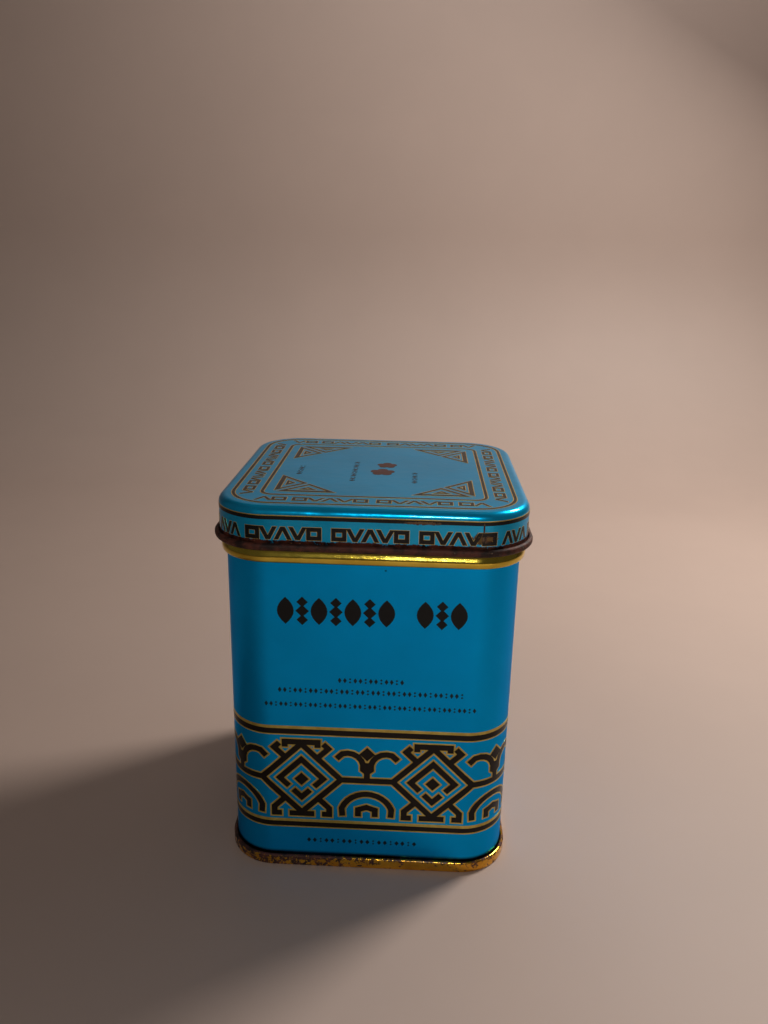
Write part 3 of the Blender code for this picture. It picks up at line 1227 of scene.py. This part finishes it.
def print_wall():
    """The frieze with its borders, and the ornaments and marks on the front."""
    place = on_wall(0.0)
    cuts = corner_cuts(0.0, *FRIEZE_CUTS)
    gold = frieze(FRIEZE_MARGIN) + [full_band(0.0, *line) for line in GOLD_LINES]
    lay_print("frieze_gold", gold, place, GOLD_HEIGHT, body_gold, "tin", "gold_lacquer", cuts)
    black = frieze(0.0) + [full_band(0.0, *line) for line in DARK_LINES]
    lay_print("frieze_black", black, place, INK_HEIGHT, brown_ink, "tin", "wall_enamel", cuts)
    bold = [polygon for group in ORNAMENTS for polygon in row_of_ornaments(*group)]
    lay_print("front_ornaments", bold, place, INK_HEIGHT, black_ink, "tin", "wall_enamel")
    marks = [polygon for row in MARK_ROWS for polygon in row_of_marks(*row)]
    lay_print("front_marks", marks, place, INK_HEIGHT, fine_ink, "tin", "wall_enamel")


def print_skirt():
    """The fret round the lid's skirt and the line above it."""
    place = on_wall(LID_OUT)
    cuts = corner_cuts(LID_OUT, SKIRT_CUTS_BOTTOM, TOP)
    reach = 2.0 * quarter_length(LID_OUT)
    gold = skirt_fret(SKIRT_FRET_MARGIN)
    gold.append(rectangle(-reach, SKIRT_LINE_TOP, reach, SKIRT_GOLD_TOP))
    lay_print("skirt_gold", gold, place, GOLD_HEIGHT, lid_gold, "outer_lid", "gold_lacquer", cuts)
    black = skirt_fret(0.0)
    black.append(rectangle(-reach, SKIRT_LINE_BOTTOM, reach, SKIRT_LINE_TOP))
    lay_print("skirt_black", black, place, INK_HEIGHT, lid_black_ink, "outer_lid", "lid_enamel", cuts)


def print_lid_top():
    """The borders, fret and corner triangles of the lid's top, and the blossoms in its middle."""
    gold = top_borders(BORDER_MARGIN) + top_fret(TOP_FRET_MARGIN) + corner_triangles(TRIANGLE_MARGIN)
    lay_print("lid_top_gold", gold, on_lid_top, GOLD_HEIGHT, lid_gold, "outer_lid", "gold_lacquer")
    black = top_borders(0.0) + top_fret(0.0) + corner_triangles(0.0)
    lay_print("lid_top_black", black, on_lid_top, INK_HEIGHT, lid_black_ink, "outer_lid", "lid_enamel")
    red = [polygon for flower in BLOSSOMS for polygon in blossom(*flower)]
    lay_print("lid_blossoms", red, on_lid_top, INK_HEIGHT, red_ink, "outer_lid", "lid_enamel")
    marks = []
    for x, bottom, top in MARK_COLUMNS:
        for mark in row_of_marks(bottom, top, COLUMN_PITCH, 0.0, COLUMN_WIDTH):
            marks.append(moved(mark, x, turn=90.0))
    lay_print("lid_marks", marks, on_lid_top, INK_HEIGHT, faded_ink, "outer_lid", "lid_enamel")


build_base()
build_wall()
build_neck()
build_inner_lid()
build_outer_lid()
print_wall()
print_skirt()
print_lid_top()


# ---- Stage, light and camera ----

# The stage and the camera, in metres and radians.
STAGE_FRONT = -1.2
STAGE_BACK = 0.5
STAGE_BEND = 0.18
STAGE_BEND_STEPS = 12
STAGE_HEIGHT = 1.4
STAGE_HALF_WIDTH = 1.6
CAMERA_PLACE = (0.0105, -0.2280, 0.1632)
CAMERA_LEFT = 0.0386
CAMERA_DOWN = 0.3037
CAMERA_ROLL = 0.0201
CAMERA_LENS = 29.0


def build_stage():
    """A pale floor that curves up into a pale backdrop."""
    start = STAGE_BACK - STAGE_BEND
    profile = [(STAGE_FRONT, 0.0), (start, 0.0)]
    for step in range(1, STAGE_BEND_STEPS + 1):
        angle = math.radians(90.0) * step / STAGE_BEND_STEPS
        profile.append((start + STAGE_BEND * math.sin(angle), STAGE_BEND * (1.0 - math.cos(angle))))
    profile.append((STAGE_BACK, STAGE_HEIGHT))
    mesh = bmesh.new()
    sides = (-STAGE_HALF_WIDTH, STAGE_HALF_WIDTH)
    rows = [[mesh.verts.new((x, y, z)) for x in sides] for y, z in profile]
    for near, far in zip(rows, rows[1:]):
        mesh.faces.new((near[0], near[1], far[1], far[0]))
    sweep = piece_from("stage_sweep", mesh, [matt_paper("stage_paper", linear(180, 160, 149))])


def area_light(name, place, target, size, watts, spread, colour):
    data = bpy.data.lights.new(name, "AREA")
    data.shape = "DISK"
    data.size = size
    data.energy = watts
    data.spread = math.radians(spread)
    data.color = colour
    light = bpy.data.objects.new(name, data)
    light.location = place
    light.rotation_euler = (Vector(target) - Vector(place)).to_track_quat("-Z", "Y").to_euler()
    bpy.context.collection.objects.link(light)


def build_lights():
    """Four soft lights and a dim grey world.

    The key stands behind at the right. The pool lights the floor in front, which the wall mirrors,
    the wash lights the backdrop, and the low front one reaches the bead under the lid's edge.
    """
    area_light("key", (0.32, 0.22, 0.42), (0.08, 0.0, 0.0), 0.14, 2.5, 180.0, (1.0, 0.93, 0.86))
    area_light("pool", (0.16, -0.42, 0.30), (0.14, -0.42, 0.0), 0.20, 0.6, 100.0, (1.0, 0.97, 0.94))
    area_light("wash", (0.08, 0.15, 0.75), (0.08, 0.50, 0.42), 0.30, 0.9, 120.0, (1.0, 0.95, 0.91))
    area_light("front", (0.035, -0.44, 0.275), (0.0, -0.02, 0.06), 0.06, 0.42, 180.0, (1.0, 0.97, 0.94))
    world = bpy.data.worlds.new("studio")
    world.use_nodes = True
    background = world.node_tree.nodes["Background"]
    feed(world.node_tree, background, {"Color": (0.42, 0.39, 0.37, 1.0), "Strength": 0.16})
    bpy.context.scene.world = world


def build_camera():
    """A wide lens close in front of the tin, a little above the lid, looking down and left."""
    data = bpy.data.cameras.new("camera")
    data.lens = CAMERA_LENS
    data.sensor_width = 36.0
    camera = bpy.data.objects.new("camera", data)
    left = Matrix.Rotation(CAMERA_LEFT, 4, "Z")
    down = Matrix.Rotation(math.radians(90.0) - CAMERA_DOWN, 4, "X")
    roll = Matrix.Rotation(CAMERA_ROLL, 4, "Z")
    camera.matrix_world = Matrix.Translation(CAMERA_PLACE) @ left @ down @ roll
    bpy.context.collection.objects.link(camera)
    bpy.context.scene.camera = camera


build_stage()
build_lights()
build_camera()
bpy.context.scene.view_settings.view_transform = "Standard"
